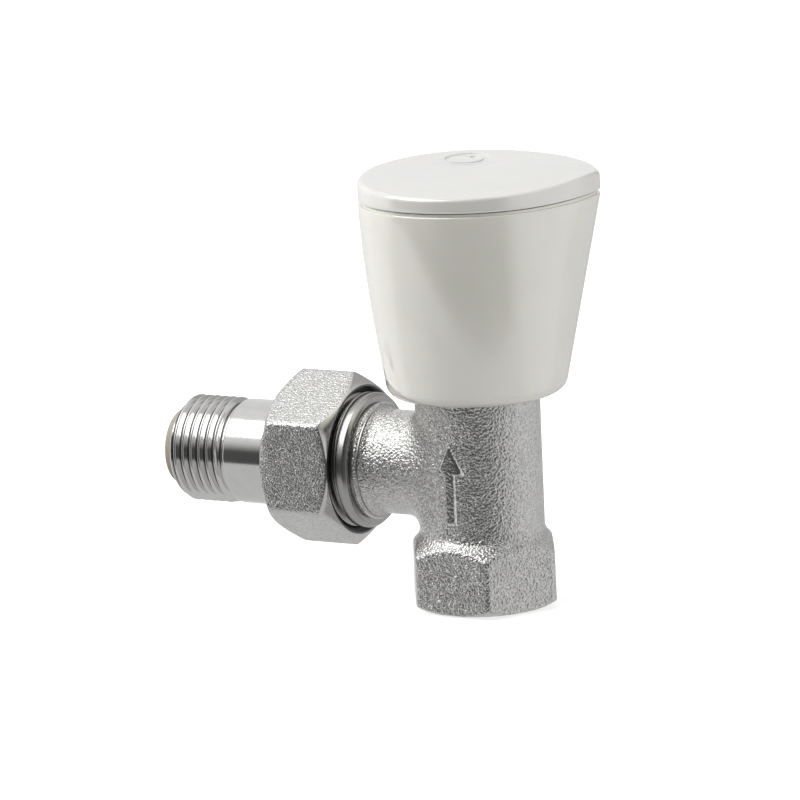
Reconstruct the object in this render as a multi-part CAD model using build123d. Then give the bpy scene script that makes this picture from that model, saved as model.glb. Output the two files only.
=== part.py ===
from build123d import *
from math import atan2, cos, pi, radians, sin, sqrt
import os

# Angle radiator valve, 1/2 inch, with a hand cap: every piece that comes apart on a bench.
# Millimetres.  The origin is the centre of the inlet mouth, on the lower hexagon's flat end.
# +Z runs up the barrel to the cap.  The branch, union nut and tailpiece point along -X.

# ---- driving dimensions ------------------------------------------------------------------
BRANCH_HEIGHT = 26.3          # branch axis above the inlet mouth

# Whitworth pipe thread, 14 threads per inch, on the inlet, the tailpiece and the union
PITCH = 25.4 / 14
THREAD_DEPTH = 0.640327 * PITCH
HALF_FLANK = radians(27.5)
HALF_INCH_CREST = 20.955 / 2
HALF_INCH_ROOT = HALF_INCH_CREST - THREAD_DEPTH
THREE_QUARTER_MEAN = (26.441 - THREAD_DEPTH) / 2

# barrel, from the mouth upwards
INLET_HEX_FLATS = 27.0
HEX_TOP = 10.8                # the hexagon's corners end here
SHOULDER_TOP = 14.0           # and its sloping shoulder meets the barrel here
BARREL_RADIUS = 12.1
BARREL_TOP = 45.0
MOUTH_EDGE_RADIUS = 13.4      # the hexagon's corners are turned off at the mouth ...
MOUTH_BEVEL = 1.3             # ... over this height
ARROW_BOTTOM = 19.5           # the raised flow arrow on the barrel's front
ARROW_NECK = 32.5
ARROW_TIP = 38.5
ARROW_STEM = 0.9
ARROW_BARB = 2.5
ARROW_RELIEF = 0.4
INLET_DEPTH = 12.0
INLET_CHAMFER = 0.9
INLET_WALL_START = 0.5
SEAT_RADIUS = 6.5
SEAT_LIP = 1.2
SEAT_HEIGHT = 18.8
CHAMBER_FLOOR = 16.8
CHAMBER_RADIUS = 9.0
CHAMBER_TOP = 33.5
BONNET_THREAD_RADIUS = 9.5

# branch and union, as distances along the branch from the barrel's axis
BRANCH_RADIUS = 10.16
BRANCH_BORE = 6.8
BRANCH_BLEND = 2.0
FLARE_START = 20.0
FLARE_END = 21.5
FLARE_RADIUS = 11.5
RELIEF_START = 22.0           # a narrow turned groove behind the collar
RELIEF_RADIUS = 11.2
COLLAR_START = 22.4
COLLAR_BEVEL = 0.8
COLLAR_END = 24.6
COLLAR_RADIUS = 26.441 / 2
UNION_FACE = 34.5             # end of the body, where the tailpiece's flange seals
UNION_EDGE = 0.7
SPIGOT_BORE = 9.0
SPIGOT_DEPTH = 5.9

NUT_FLATS = 30.0
NUT_START = 25.6
NUT_END = 40.6
NUT_TURN = 33.0               # one corner's angle above the branch's -Y side
NUT_SHOULDER = 37.55
NUT_CORNER_BEVEL = 1.9
NUT_MOUTH_RADIUS = 14.27
NUT_TAIL_BORE = 10.6
NUT_TAIL_EDGE = 0.6

SPIGOT_START = 29.2           # the tailpiece's spigot, inside the body
SPIGOT_GAP = 0.15
SPIGOT_EDGE = 0.5
TAIL_O_RING_SECTION = 0.75
TAIL_O_RING_PLACE = 31.7
FLANGE_RADIUS = 11.8
SHANK_RADIUS = 10.3
SHANK_END = 51.75
SHANK_EDGE = 0.4
TAIL_THREAD_RUN_IN = 0.8
TAIL_THREAD_START = 53.4
TAIL_LAST_CREST = 63.0
TAIL_THREAD_END = 64.25
TAIL_BORE = 5.0
TAIL_KEY_FLATS = 10.1
TAIL_KEY_DEPTH = 13.0
TAIL_TIP = 66.2
TIP_RADIUS = 6.4
SEAL_END = 66.65
SEAL_RADIUS = 7.5
SEAL_ROUND = 0.8
SEAL_GAP = 0.02

# headwork
BONNET_BOTTOM = 33.5
SEAL_THICKNESS = 1.0
BONNET_HEX_FLATS = 22.0
BONNET_BEVEL = 1.2
BONNET_HEX_TOP = 51.5
BONNET_TOP = 56.5
HEADWORK_TURN = 15.0          # one corner of the bonnet's and gland nut's hexagons, from +X
NECK_RADIUS = 7.0
GUIDE_FLATS = 12.1
GUIDE_TOP = 44.8
GLAND_POCKET_RADIUS = 5.8
GLAND_POCKET_FLOOR = 53.0
GLAND_FLATS = 17.0
GLAND_BEVEL = 0.8
GLAND_BOTTOM = 52.6
GLAND_CEILING = 56.9
GLAND_TOP = 59.0
GLAND_WASHER_RADIUS = 5.75
GLAND_WASHER_BOTTOM = 54.9
UPPER_RING_SECTION = 0.88
UPPER_RING_PLACE = 53.95

SPINDLE_RADIUS = 3.95
SPINDLE_BORE = 4.0
SPINDLE_BOTTOM = 28.0
SPINDLE_TOP = 70.0
LEAD_SCREW_RADIUS = 3.4
THRUST_COLLAR_RADIUS = 5.5
THRUST_COLLAR_BOTTOM = 42.8
THRUST_COLLAR_TOP = 44.3
THRUST_WASHER_RADIUS = 5.6
LOWER_RING_SECTION = 0.62
LOWER_RING_PLACE = 47.55
CLIP_GROOVE = 59.2
CLIP_GROOVE_WIDTH = 0.9
CLIP_GROOVE_DEPTH = 0.65
CLIP_THICKNESS = 0.8
CLIP_RADIUS = 5.6
CLIP_OPENING = 3.0
SERRATION_START = 61.2
SERRATION_CREST = 3.9
SERRATION_ROOT = 3.45
SERRATIONS = 20
CAP_SCREW_HOLE_DEPTH = 9.0

WASHER_RADIUS = 7.85
WASHER_BOTTOM = SEAT_HEIGHT + 0.03
WASHER_TOP = WASHER_BOTTOM + 2.8
PLUG_SCREW_RADIUS = 1.5
PLUG_SCREW_HEAD_RADIUS = 3.2
PLUG_SCREW_HEAD = 1.5
CARRIER_RADIUS = 8.3
CARRIER_LIP = 20.4
CARRIER_DISC_TOP = 23.6
CARRIER_TOP = 38.0
CARRIER_FLATS = 11.95

# cap: a round foot that grows into a teardrop, and a lid over its top with a shadow gap below
CAP_BOTTOM = 41.3
CAP_RIM = 78.85
CAP_WALL = 2.6
CAP_FOOT_ROUND = 2.2
CAP_DECK_BOTTOM = 71.0
CAP_DECK_TOP = 73.5
CAP_TIP_ANGLE = 35.0          # where the teardrop's point stands, from +X
FOOT_RADIUS = 17.0
RIM_RADIUS = 21.2
FOOT_REACH = 17.15
RIM_REACH = 25.3
FOOT_POINT_RADIUS = 15.5
RIM_POINT_RADIUS = 8.0
CAP_SIDE_RADIUS = 40.0        # the shallow arcs between the round and the point
RIM_STEP_INSET = 0.9          # an upstand on the rim backs the gap below the lid
RIM_STEP_TOP = 79.35
BOSS_RADIUS = 8.6
BOSS_BOTTOM = 60.5
RIB_BOTTOM = 63.0
RIB_THICKNESS = 1.5
INSERT_FLATS = 12.0
INSERT_BOTTOM = 61.5
INSERT_TOP = 70.95
INSERT_GAP = 0.06
CAP_SCREW_RADIUS = 1.95
CAP_SCREW_LENGTH = 7.5        # of the shank, below the spindle's top
CAP_SCREW_HEAD_RADIUS = 3.6
CAP_SCREW_HEAD = 2.4
CAP_WASHER_RADIUS = 5.0
CAP_WASHER_THICKNESS = 0.8
SCREW_HOLE_GAP = 0.25

LID_BOTTOM = 79.55
LID_CENTRE_HEIGHT = 83.7
LID_TILT = 3.54               # the lid's top rises away from the front ...
LID_RISE_ANGLE = 115.0        # ... towards this angle from +X
LID_SPIGOT_BOTTOM = 75.5
LID_SPIGOT_WALL = 1.4
LID_SPIGOT_GAP = 0.15
LID_CEILING = 80.6
LID_EDGE_ROUND = 0.6
MARK_PLACE = (-6.5, 12.0)     # a round pocket in the lid, with a raised turning arrow in it
MARK_RADIUS = 4.35
MARK_DEPTH = 0.3
MARK_RING_RADIUS = 2.75
MARK_RING_WIDTH = 0.8
MARK_RISE = 0.25

RUNNING_GAP = 0.05
SLIDING_GAP = 0.03


# ---- helpers -----------------------------------------------------------------------------
def turned(outline):
    """The solid turned from a closed (radius, height) outline about Z."""
    return revolve(make_face(Plane.XZ * Polyline(outline, close=True)), Axis.Z)


def tube(outer, inner, bottom, top):
    return turned([(inner, bottom), (outer, bottom), (outer, top), (inner, top)])


def rod(radius, bottom, top):
    standing = (Align.CENTER, Align.CENTER, Align.MIN)
    return Pos(0, 0, bottom) * Cylinder(radius, top - bottom, align=standing)


def hexagon(flats, bottom, top, turn=0.0):
    """A hexagonal prism across `flats`, with a corner at `turn` degrees."""
    outline = RegularPolygon(flats / 2, 6, major_radius=False, rotation=turn)
    return Pos(0, 0, bottom) * extrude(outline, top - bottom)


def o_ring(inner, section_radius, height):
    return Pos(0, 0, height) * Torus(inner + section_radius, section_radius)


def ridges(crest, root, start, end):
    """Outline points of full thread grooves of the pipe thread, between two heights."""
    groove = 2 * THREAD_DEPTH * sin(HALF_FLANK) / cos(HALF_FLANK)
    floor = (PITCH - groove) / 2
    count = int((end - start) / PITCH)
    points = []
    for i in range(count):
        middle = start + (i + 0.5) * PITCH
        points.append((crest, middle - floor / 2 - groove / 2))
        points.append((root, middle - floor / 2))
        points.append((root, middle + floor / 2))
        points.append((crest, middle + floor / 2 + groove / 2))
    return points


def along_branch(shape):
    """Lay a solid modelled along Z on the branch: Z outwards, X to the front, Y up."""
    return Plane(origin=(0, 0, BRANCH_HEIGHT), x_dir=(0, -1, 0), z_dir=(-1, 0, 0)) * shape


def serrated(crest, root, bottom, top):
    """A toothed shaft: straight-sided teeth between two radii."""
    points = []
    for i in range(SERRATIONS):
        for k, radius in enumerate((crest, root)):
            angle = 2 * pi * (i + k / 2) / SERRATIONS
            points.append((radius * cos(angle), radius * sin(angle)))
    return Pos(0, 0, bottom) * extrude(make_face(Polyline(points, close=True)), top - bottom)


def cap_outline(height, inset=0.0):
    """The cap's outline at a height: a large round and a point's round, joined by shallow arcs."""
    share = (height - CAP_BOTTOM) / (CAP_RIM - CAP_BOTTOM)
    main = FOOT_RADIUS + (RIM_RADIUS - FOOT_RADIUS) * (1 - max(1 - share, 0.0) ** 1.5)
    reach = FOOT_REACH + (RIM_REACH - FOOT_REACH) * share
    point = FOOT_POINT_RADIUS + (RIM_POINT_RADIUS - FOOT_POINT_RADIUS) * share
    centre = reach - point
    # each side arc's centre lies across the outline, so that it touches both rounds from outside
    to_main, to_point = CAP_SIDE_RADIUS - main, CAP_SIDE_RADIUS - point
    side_x = (to_main ** 2 - to_point ** 2 + centre ** 2) / (2 * centre)
    side_y = sqrt(to_main ** 2 - side_x ** 2)
    main_end = atan2(side_y, -side_x)
    point_end = atan2(side_y, centre - side_x)
    middle = (main_end + point_end) / 2
    main, point, side = main - inset, point - inset, CAP_SIDE_RADIUS - inset
    upper = (main * cos(main_end), main * sin(main_end))
    upper_side = (side_x + side * cos(middle), side * sin(middle) - side_y)
    upper_point = (centre + point * cos(point_end), point * sin(point_end))
    lower, lower_side, lower_point = [(x, -y) for x, y in (upper, upper_side, upper_point)]
    edges = [
        ThreePointArc(upper, (-main, 0), lower),
        ThreePointArc(lower, lower_side, lower_point),
        ThreePointArc(lower_point, (centre + point, 0), upper_point),
        ThreePointArc(upper_point, upper_side, upper),
    ]
    return Pos(0, 0, height) * Rot(0, 0, CAP_TIP_ANGLE) * make_face(edges)


def cap_loft(bottom, top, inset=0.0, steps=5):
    heights = [bottom + (top - bottom) * i / steps for i in range(steps + 1)]
    return loft([cap_outline(height, inset) for height in heights])


def cap_prism(bottom, top, inset=0.0):
    """The rim's outline carried straight up, for the lid."""
    outline = Pos(0, 0, bottom - CAP_RIM) * cap_outline(CAP_RIM, inset)
    return extrude(outline, top - bottom, dir=(0, 0, 1))


def bevelled_hexagon(flats, bottom, top, bevel, turn=0.0, face_share=0.985):
    """A hexagon whose corners are turned off at both ends."""
    corner = flats / 3 ** 0.5
    face = flats / 2 * face_share
    blank = turned([(0, bottom), (face, bottom), (corner, bottom + bevel),
                    (corner, top - bevel), (face, top), (0, top)])
    return hexagon(flats, bottom, top, turn) & blank


# ---- valve body --------------------------------------------------------------------------
def flow_arrow():
    """A raised arrow on the front of the barrel, pointing up the flow."""
    outline = [(-ARROW_STEM, ARROW_BOTTOM), (ARROW_STEM, ARROW_BOTTOM), (ARROW_STEM, ARROW_NECK),
               (ARROW_BARB, ARROW_NECK), (0, ARROW_TIP), (-ARROW_BARB, ARROW_NECK),
               (-ARROW_STEM, ARROW_NECK)]
    arrow = extrude(make_face(Plane.XZ * Polyline(outline, close=True)), BARREL_RADIUS + 2)
    outer = BARREL_RADIUS + ARROW_RELIEF
    return arrow & tube(outer, outer - 1, ARROW_BOTTOM - 1, ARROW_TIP + 1)


def inlet_hexagon():
    """The spanner hexagon at the mouth, with a sloping shoulder up to the barrel."""
    corner = INLET_HEX_FLATS / 3 ** 0.5
    blank = turned([(0, 0), (MOUTH_EDGE_RADIUS, 0), (corner, MOUTH_BEVEL), (corner, HEX_TOP),
                    (BARREL_RADIUS, SHOULDER_TOP), (0, SHOULDER_TOP)])
    return hexagon(INLET_HEX_FLATS, 0, SHOULDER_TOP) & blank


def union_end():
    """The branch's outer end along Z: a flare, a collar and the plug that takes the union nut."""
    thread = THREE_QUARTER_MEAN
    return turned([(0, FLARE_START), (BRANCH_RADIUS, FLARE_START), (FLARE_RADIUS, FLARE_END),
                   (FLARE_RADIUS, RELIEF_START), (RELIEF_RADIUS, RELIEF_START),
                   (RELIEF_RADIUS, COLLAR_START), (COLLAR_RADIUS - COLLAR_BEVEL, COLLAR_START),
                   (COLLAR_RADIUS, COLLAR_START + COLLAR_BEVEL), (COLLAR_RADIUS, COLLAR_END),
                   (thread, COLLAR_END), (thread, UNION_FACE - UNION_EDGE),
                   (thread - UNION_EDGE, UNION_FACE), (0, UNION_FACE)])


def waterway():
    """The bore up the barrel: threaded inlet, seat, chamber and the bonnet's thread."""
    lip = SEAT_RADIUS + SEAT_LIP
    outline = [(0, 0), (HALF_INCH_ROOT + INLET_CHAMFER, 0), (HALF_INCH_ROOT, INLET_WALL_START)]
    outline += ridges(HALF_INCH_ROOT, HALF_INCH_CREST, INLET_WALL_START, INLET_DEPTH)
    outline += [(HALF_INCH_ROOT, INLET_DEPTH), (SEAT_RADIUS, INLET_DEPTH + 1.5),
                (SEAT_RADIUS, SEAT_HEIGHT), (lip, SEAT_HEIGHT), (lip, CHAMBER_FLOOR),
                (CHAMBER_RADIUS, CHAMBER_FLOOR), (CHAMBER_RADIUS, CHAMBER_TOP),
                (BONNET_THREAD_RADIUS, CHAMBER_TOP), (BONNET_THREAD_RADIUS, BARREL_TOP),
                (0, BARREL_TOP)]
    return turned(outline)


def valve_body():
    forging = rod(BARREL_RADIUS, 1.0, BARREL_TOP) + along_branch(rod(BRANCH_RADIUS, 0, FLARE_START + 1))
    plain = (GeomType.CIRCLE, GeomType.LINE)
    junction = [edge for edge in forging.edges() if edge.geom_type not in plain]
    forging = fillet(junction, BRANCH_BLEND)
    forging += inlet_hexagon() + along_branch(union_end()) + flow_arrow()
    outlet = rod(BRANCH_BORE, CHAMBER_RADIUS - 3, UNION_FACE)
    outlet += rod(SPIGOT_BORE, UNION_FACE - SPIGOT_DEPTH, UNION_FACE)
    return forging - waterway() - along_branch(outlet)


# ---- union and tailpiece -----------------------------------------------------------------
def union_nut():
    nut = bevelled_hexagon(NUT_FLATS, NUT_START, NUT_END, NUT_CORNER_BEVEL, NUT_TURN)
    thread = THREE_QUARTER_MEAN + 2 * RUNNING_GAP
    mouth = NUT_MOUTH_RADIUS - thread
    bore = turned([(0, NUT_START), (NUT_MOUTH_RADIUS, NUT_START), (thread, NUT_START + mouth),
                   (thread, NUT_SHOULDER), (NUT_TAIL_BORE, NUT_SHOULDER),
                   (NUT_TAIL_BORE, NUT_END - NUT_TAIL_EDGE),
                   (NUT_TAIL_BORE + NUT_TAIL_EDGE, NUT_END), (0, NUT_END)])
    return along_branch(nut - bore)


def tailpiece():
    spigot = SPIGOT_BORE - SPIGOT_GAP
    groove = SPIGOT_BORE - 2 * TAIL_O_RING_SECTION - 2 * RUNNING_GAP
    groove_start = TAIL_O_RING_PLACE - TAIL_O_RING_SECTION - SPIGOT_GAP
    groove_end = TAIL_O_RING_PLACE + TAIL_O_RING_SECTION + SPIGOT_GAP
    flange_start = UNION_FACE + RUNNING_GAP
    flange_end = NUT_SHOULDER - RUNNING_GAP
    outline = [(TAIL_BORE, SPIGOT_START), (spigot - SPIGOT_EDGE, SPIGOT_START),
               (spigot, SPIGOT_START + SPIGOT_EDGE), (spigot, groove_start), (groove, groove_start),
               (groove, groove_end), (spigot, groove_end), (spigot, flange_start),
               (FLANGE_RADIUS, flange_start), (FLANGE_RADIUS, flange_end), (SHANK_RADIUS, flange_end),
               (SHANK_RADIUS, SHANK_END - SHANK_EDGE), (SHANK_RADIUS - SHANK_EDGE, SHANK_END),
               (HALF_INCH_ROOT, SHANK_END), (HALF_INCH_ROOT, TAIL_THREAD_START - TAIL_THREAD_RUN_IN),
               (HALF_INCH_CREST, TAIL_THREAD_START)]
    outline += ridges(HALF_INCH_CREST, HALF_INCH_ROOT, TAIL_THREAD_START, TAIL_LAST_CREST)
    outline += [(HALF_INCH_CREST, TAIL_LAST_CREST), (HALF_INCH_ROOT, TAIL_THREAD_END),
                (TIP_RADIUS, TAIL_THREAD_END), (TIP_RADIUS, TAIL_TIP - SHANK_EDGE),
                (TIP_RADIUS - SHANK_EDGE, TAIL_TIP), (TAIL_BORE, TAIL_TIP)]
    key_socket = hexagon(TAIL_KEY_FLATS, TAIL_TIP - TAIL_KEY_DEPTH, TAIL_TIP, NUT_TURN)
    return along_branch(turned(outline) - key_socket)


def tail_end_seal():
    ring = tube(SEAL_RADIUS, TIP_RADIUS + SEAL_GAP, TAIL_THREAD_END + SEAL_GAP, SEAL_END)
    end_edges = ring.edges().filter_by(GeomType.CIRCLE).group_by(Axis.Z)[-1]
    return along_branch(fillet(end_edges.sort_by(SortBy.RADIUS)[-1], SEAL_ROUND))


def tail_o_ring():
    inner = SPIGOT_BORE - RUNNING_GAP - 2 * TAIL_O_RING_SECTION
    return along_branch(o_ring(inner, TAIL_O_RING_SECTION, TAIL_O_RING_PLACE))


# ---- headwork ----------------------------------------------------------------------------
def bonnet():
    flange = BARREL_TOP + SEAL_THICKNESS
    head = bevelled_hexagon(BONNET_HEX_FLATS, flange, BONNET_HEX_TOP, BONNET_BEVEL, HEADWORK_TURN)
    head += rod(BONNET_THREAD_RADIUS - SLIDING_GAP, BONNET_BOTTOM + RUNNING_GAP, flange)
    head += rod(NECK_RADIUS, BONNET_HEX_TOP, BONNET_TOP)
    head -= hexagon(GUIDE_FLATS, BONNET_BOTTOM, GUIDE_TOP)
    head -= rod(SPINDLE_BORE, GUIDE_TOP, BONNET_TOP)
    return head - rod(GLAND_POCKET_RADIUS, GLAND_POCKET_FLOOR, BONNET_TOP)


def bonnet_seal():
    return tube(BARREL_RADIUS - 0.2, BONNET_THREAD_RADIUS + 0.1, BARREL_TOP, BARREL_TOP + SEAL_THICKNESS)


def gland_nut():
    nut = bevelled_hexagon(GLAND_FLATS, GLAND_BOTTOM, GLAND_TOP, GLAND_BEVEL, HEADWORK_TURN)
    nut -= rod(NECK_RADIUS + SLIDING_GAP, GLAND_BOTTOM, GLAND_CEILING)
    return nut - rod(SPINDLE_BORE + 2 * RUNNING_GAP, GLAND_CEILING, GLAND_TOP)


def gland_washer():
    inner = SPINDLE_BORE + RUNNING_GAP
    return tube(GLAND_WASHER_RADIUS, inner, GLAND_WASHER_BOTTOM, GLAND_CEILING - SLIDING_GAP)


def spindle_o_ring_upper():
    return o_ring(SPINDLE_BORE + 0.02, UPPER_RING_SECTION, UPPER_RING_PLACE)


def spindle_o_ring_lower():
    inner = SPINDLE_RADIUS - 2 * LOWER_RING_SECTION + 0.01
    return o_ring(inner, LOWER_RING_SECTION, LOWER_RING_PLACE)


def spindle():
    ring_root = SPINDLE_RADIUS - 2 * LOWER_RING_SECTION
    ring_start = LOWER_RING_PLACE - LOWER_RING_SECTION - 0.13
    ring_end = LOWER_RING_PLACE + LOWER_RING_SECTION + 0.13
    clip_root = SPINDLE_RADIUS - CLIP_GROOVE_DEPTH
    clip_end = CLIP_GROOVE + CLIP_GROOVE_WIDTH
    outline = [(0, SPINDLE_BOTTOM), (LEAD_SCREW_RADIUS - 0.5, SPINDLE_BOTTOM),
               (LEAD_SCREW_RADIUS, SPINDLE_BOTTOM + 0.5), (LEAD_SCREW_RADIUS, THRUST_COLLAR_BOTTOM),
               (THRUST_COLLAR_RADIUS, THRUST_COLLAR_BOTTOM), (THRUST_COLLAR_RADIUS, THRUST_COLLAR_TOP),
               (SPINDLE_RADIUS, THRUST_COLLAR_TOP), (SPINDLE_RADIUS, ring_start),
               (ring_root, ring_start), (ring_root, ring_end), (SPINDLE_RADIUS, ring_end),
               (SPINDLE_RADIUS, CLIP_GROOVE), (clip_root, CLIP_GROOVE), (clip_root, clip_end),
               (SPINDLE_RADIUS, clip_end), (SPINDLE_RADIUS, SERRATION_START), (0, SERRATION_START)]
    stem = turned(outline)
    stem += serrated(SERRATION_CREST, SERRATION_ROOT, SERRATION_START, SPINDLE_TOP)
    return stem - rod(CAP_SCREW_RADIUS + RUNNING_GAP, SPINDLE_TOP - CAP_SCREW_HOLE_DEPTH, SPINDLE_TOP)


def spindle_circlip():
    inner = SPINDLE_RADIUS - CLIP_GROOVE_DEPTH + SLIDING_GAP
    ring = tube(CLIP_RADIUS, inner, CLIP_GROOVE + RUNNING_GAP, CLIP_GROOVE + CLIP_THICKNESS)
    return ring - Pos(CLIP_RADIUS, 0, CLIP_GROOVE) * Box(CLIP_RADIUS, CLIP_OPENING, 4 * CLIP_THICKNESS)


def thrust_washer():
    inner = SPINDLE_BORE + RUNNING_GAP
    return tube(THRUST_WASHER_RADIUS, inner, THRUST_COLLAR_TOP + SLIDING_GAP, GUIDE_TOP)


# ---- plug --------------------------------------------------------------------------------
def plug_carrier():
    body = rod(CARRIER_RADIUS, CARRIER_LIP, CARRIER_DISC_TOP)
    body += hexagon(CARRIER_FLATS, CARRIER_DISC_TOP, CARRIER_TOP)
    body -= rod(WASHER_RADIUS + SLIDING_GAP, CARRIER_LIP, WASHER_TOP)
    body -= rod(PLUG_SCREW_RADIUS + SLIDING_GAP, WASHER_TOP, CARRIER_DISC_TOP + 1)
    return body - rod(LEAD_SCREW_RADIUS + RUNNING_GAP, CARRIER_DISC_TOP, CARRIER_TOP)


def plug_washer():
    return tube(WASHER_RADIUS, PLUG_SCREW_RADIUS + RUNNING_GAP, WASHER_BOTTOM, WASHER_TOP)


def plug_washer_screw():
    head_bottom = WASHER_BOTTOM - PLUG_SCREW_HEAD
    screw = rod(PLUG_SCREW_HEAD_RADIUS, head_bottom, WASHER_BOTTOM)
    screw += rod(PLUG_SCREW_RADIUS, WASHER_BOTTOM, CARRIER_DISC_TOP)
    slot = Box(3 * PLUG_SCREW_HEAD_RADIUS, 0.8, PLUG_SCREW_HEAD)
    return screw - Pos(0, 0, head_bottom) * slot


# ---- cap ---------------------------------------------------------------------------------
def cap_skirt():
    shell = cap_loft(CAP_BOTTOM, CAP_RIM)
    shell = fillet(shell.edges().group_by(Axis.Z)[0], CAP_FOOT_ROUND)
    shell += cap_prism(CAP_RIM, RIM_STEP_TOP, RIM_STEP_INSET)
    shell -= cap_loft(CAP_BOTTOM, CAP_DECK_BOTTOM, CAP_WALL)
    shell -= cap_loft(CAP_DECK_TOP, CAP_RIM, CAP_WALL) + cap_prism(CAP_RIM, RIM_STEP_TOP, CAP_WALL)
    boss = rod(BOSS_RADIUS, BOSS_BOTTOM, CAP_DECK_TOP)
    room = cap_loft(RIB_BOTTOM, CAP_DECK_TOP, CAP_WALL / 2)
    rib = Pos(0, 0, RIB_BOTTOM) * Box(2 * RIM_REACH, RIB_THICKNESS, CAP_DECK_TOP - RIB_BOTTOM,
                                      align=(Align.MIN, Align.CENTER, Align.MIN))
    for i in range(4):
        boss += Rot(0, 0, CAP_TIP_ANGLE + 90 * i) * rib & room
    shell += boss
    shell -= hexagon(INSERT_FLATS + 2 * RUNNING_GAP, BOSS_BOTTOM, CAP_DECK_BOTTOM)
    return shell - rod(CAP_SCREW_RADIUS + SCREW_HOLE_GAP, CAP_DECK_BOTTOM, CAP_DECK_TOP)


def cap_drive_insert():
    crest = SERRATION_CREST + INSERT_GAP
    root = SERRATION_ROOT + INSERT_GAP
    insert = hexagon(INSERT_FLATS, INSERT_BOTTOM, INSERT_TOP)
    insert -= serrated(crest, root, INSERT_BOTTOM, SPINDLE_TOP + 0.3)
    return insert - rod(CAP_SCREW_RADIUS + SCREW_HOLE_GAP, SPINDLE_TOP, INSERT_TOP)


def cap_screw_washer():
    top = CAP_DECK_TOP + CAP_WASHER_THICKNESS
    return tube(CAP_WASHER_RADIUS, CAP_SCREW_RADIUS + RUNNING_GAP, CAP_DECK_TOP, top)


def cap_screw():
    seat = CAP_DECK_TOP + CAP_WASHER_THICKNESS
    top = seat + CAP_SCREW_HEAD
    screw = rod(CAP_SCREW_HEAD_RADIUS, seat, top)
    screw += rod(CAP_SCREW_RADIUS, SPINDLE_TOP - CAP_SCREW_LENGTH, seat)
    cross = Box(4.6, 0.9, 3.0) + Box(0.9, 4.6, 3.0)
    return screw - Pos(0, 0, top) * cross


def lid_top():
    """The plane of the lid's top: higher at the back, and sloping to the front."""
    rise = Rot(0, 0, LID_RISE_ANGLE) * Rot(0, -LID_TILT, 0) * Rot(0, 0, -LID_RISE_ANGLE)
    return Pos(0, 0, LID_CENTRE_HEIGHT) * rise


def turn_mark():
    """A round pocket less a raised arrow that curves the way the cap closes the valve."""
    pocket = extrude(Circle(MARK_RADIUS), 1.0)
    half = MARK_RING_WIDTH / 2
    arrow = Circle(MARK_RING_RADIUS + half) - Circle(MARK_RING_RADIUS - half)
    arrow -= Rot(0, 0, 20) * Pos(MARK_RADIUS, 0) * Rectangle(2 * MARK_RADIUS, 2.6)
    side = 2.2
    head = Rot(0, 0, 50) * Pos(MARK_RING_RADIUS, 0) * Rot(0, 0, -90) * Triangle(a=side, b=side, c=side)
    return pocket - extrude(Sketch() + arrow + head, MARK_RISE)


def cap_lid():
    blank = cap_prism(LID_BOTTOM, LID_CENTRE_HEIGHT + 6)
    blank -= lid_top() * Box(90, 90, 30, align=(Align.CENTER, Align.CENTER, Align.MIN))
    lid = fillet(blank.faces().sort_by(Axis.Z)[-1].edges(), LID_EDGE_ROUND)
    outer = CAP_WALL + LID_SPIGOT_GAP
    inner = outer + LID_SPIGOT_WALL
    lid += cap_loft(LID_SPIGOT_BOTTOM, CAP_RIM, outer, 2) + cap_prism(CAP_RIM, LID_BOTTOM, outer)
    lid -= cap_loft(LID_SPIGOT_BOTTOM, CAP_RIM, inner, 2) + cap_prism(CAP_RIM, LID_CEILING, inner)
    return lid - lid_top() * Pos(*MARK_PLACE, -MARK_DEPTH) * turn_mark()


PIECES = [
    valve_body, union_nut, tailpiece, tail_end_seal, tail_o_ring,
    bonnet, bonnet_seal, gland_nut, gland_washer, spindle_o_ring_upper, spindle_o_ring_lower,
    thrust_washer, spindle, spindle_circlip,
    plug_carrier, plug_washer, plug_washer_screw,
    cap_skirt, cap_drive_insert, cap_screw, cap_screw_washer, cap_lid,
]

os.makedirs("parts", exist_ok=True)
for piece in PIECES:
    export_step(piece(), f"parts/{piece.__name__}.step")
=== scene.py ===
from math import cos, pi, radians, sin, tan

import bmesh
import bpy
import numpy as np
from mathutils import Matrix, Vector


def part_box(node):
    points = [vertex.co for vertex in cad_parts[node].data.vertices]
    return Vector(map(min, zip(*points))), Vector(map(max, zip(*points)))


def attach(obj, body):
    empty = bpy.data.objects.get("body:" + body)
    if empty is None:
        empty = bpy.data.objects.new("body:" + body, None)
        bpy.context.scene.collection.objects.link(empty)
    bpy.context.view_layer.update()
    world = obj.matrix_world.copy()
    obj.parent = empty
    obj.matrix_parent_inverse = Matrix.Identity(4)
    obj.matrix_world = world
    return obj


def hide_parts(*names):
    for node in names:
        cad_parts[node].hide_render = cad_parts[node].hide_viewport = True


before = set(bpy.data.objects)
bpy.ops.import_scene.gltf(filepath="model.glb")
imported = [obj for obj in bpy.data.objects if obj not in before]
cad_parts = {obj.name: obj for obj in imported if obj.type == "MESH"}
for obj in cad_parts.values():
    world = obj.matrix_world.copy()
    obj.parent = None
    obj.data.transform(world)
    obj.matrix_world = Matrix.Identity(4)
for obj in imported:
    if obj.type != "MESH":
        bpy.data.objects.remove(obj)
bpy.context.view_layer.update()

# Angle radiator valve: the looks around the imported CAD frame.
# Shapes are worked out in millimetres and written to Blender in metres.
MM = 0.001

# ---- driving dimensions, from the frame -----------------------------------------------------


def box_mm(node):
    low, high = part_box(node)
    return low / MM, high / MM


TAIL_LOW, TAIL_HIGH = box_mm("tailpiece")
BODY_LOW, BODY_HIGH = box_mm("valve_body")
NUT_LOW, NUT_HIGH = box_mm("union_nut")
SKIRT_LOW, SKIRT_HIGH = box_mm("cap_skirt")
LID_LOW = box_mm("cap_lid")[0]
RING_LOW, RING_HIGH = box_mm("tail_end_seal")

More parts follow.
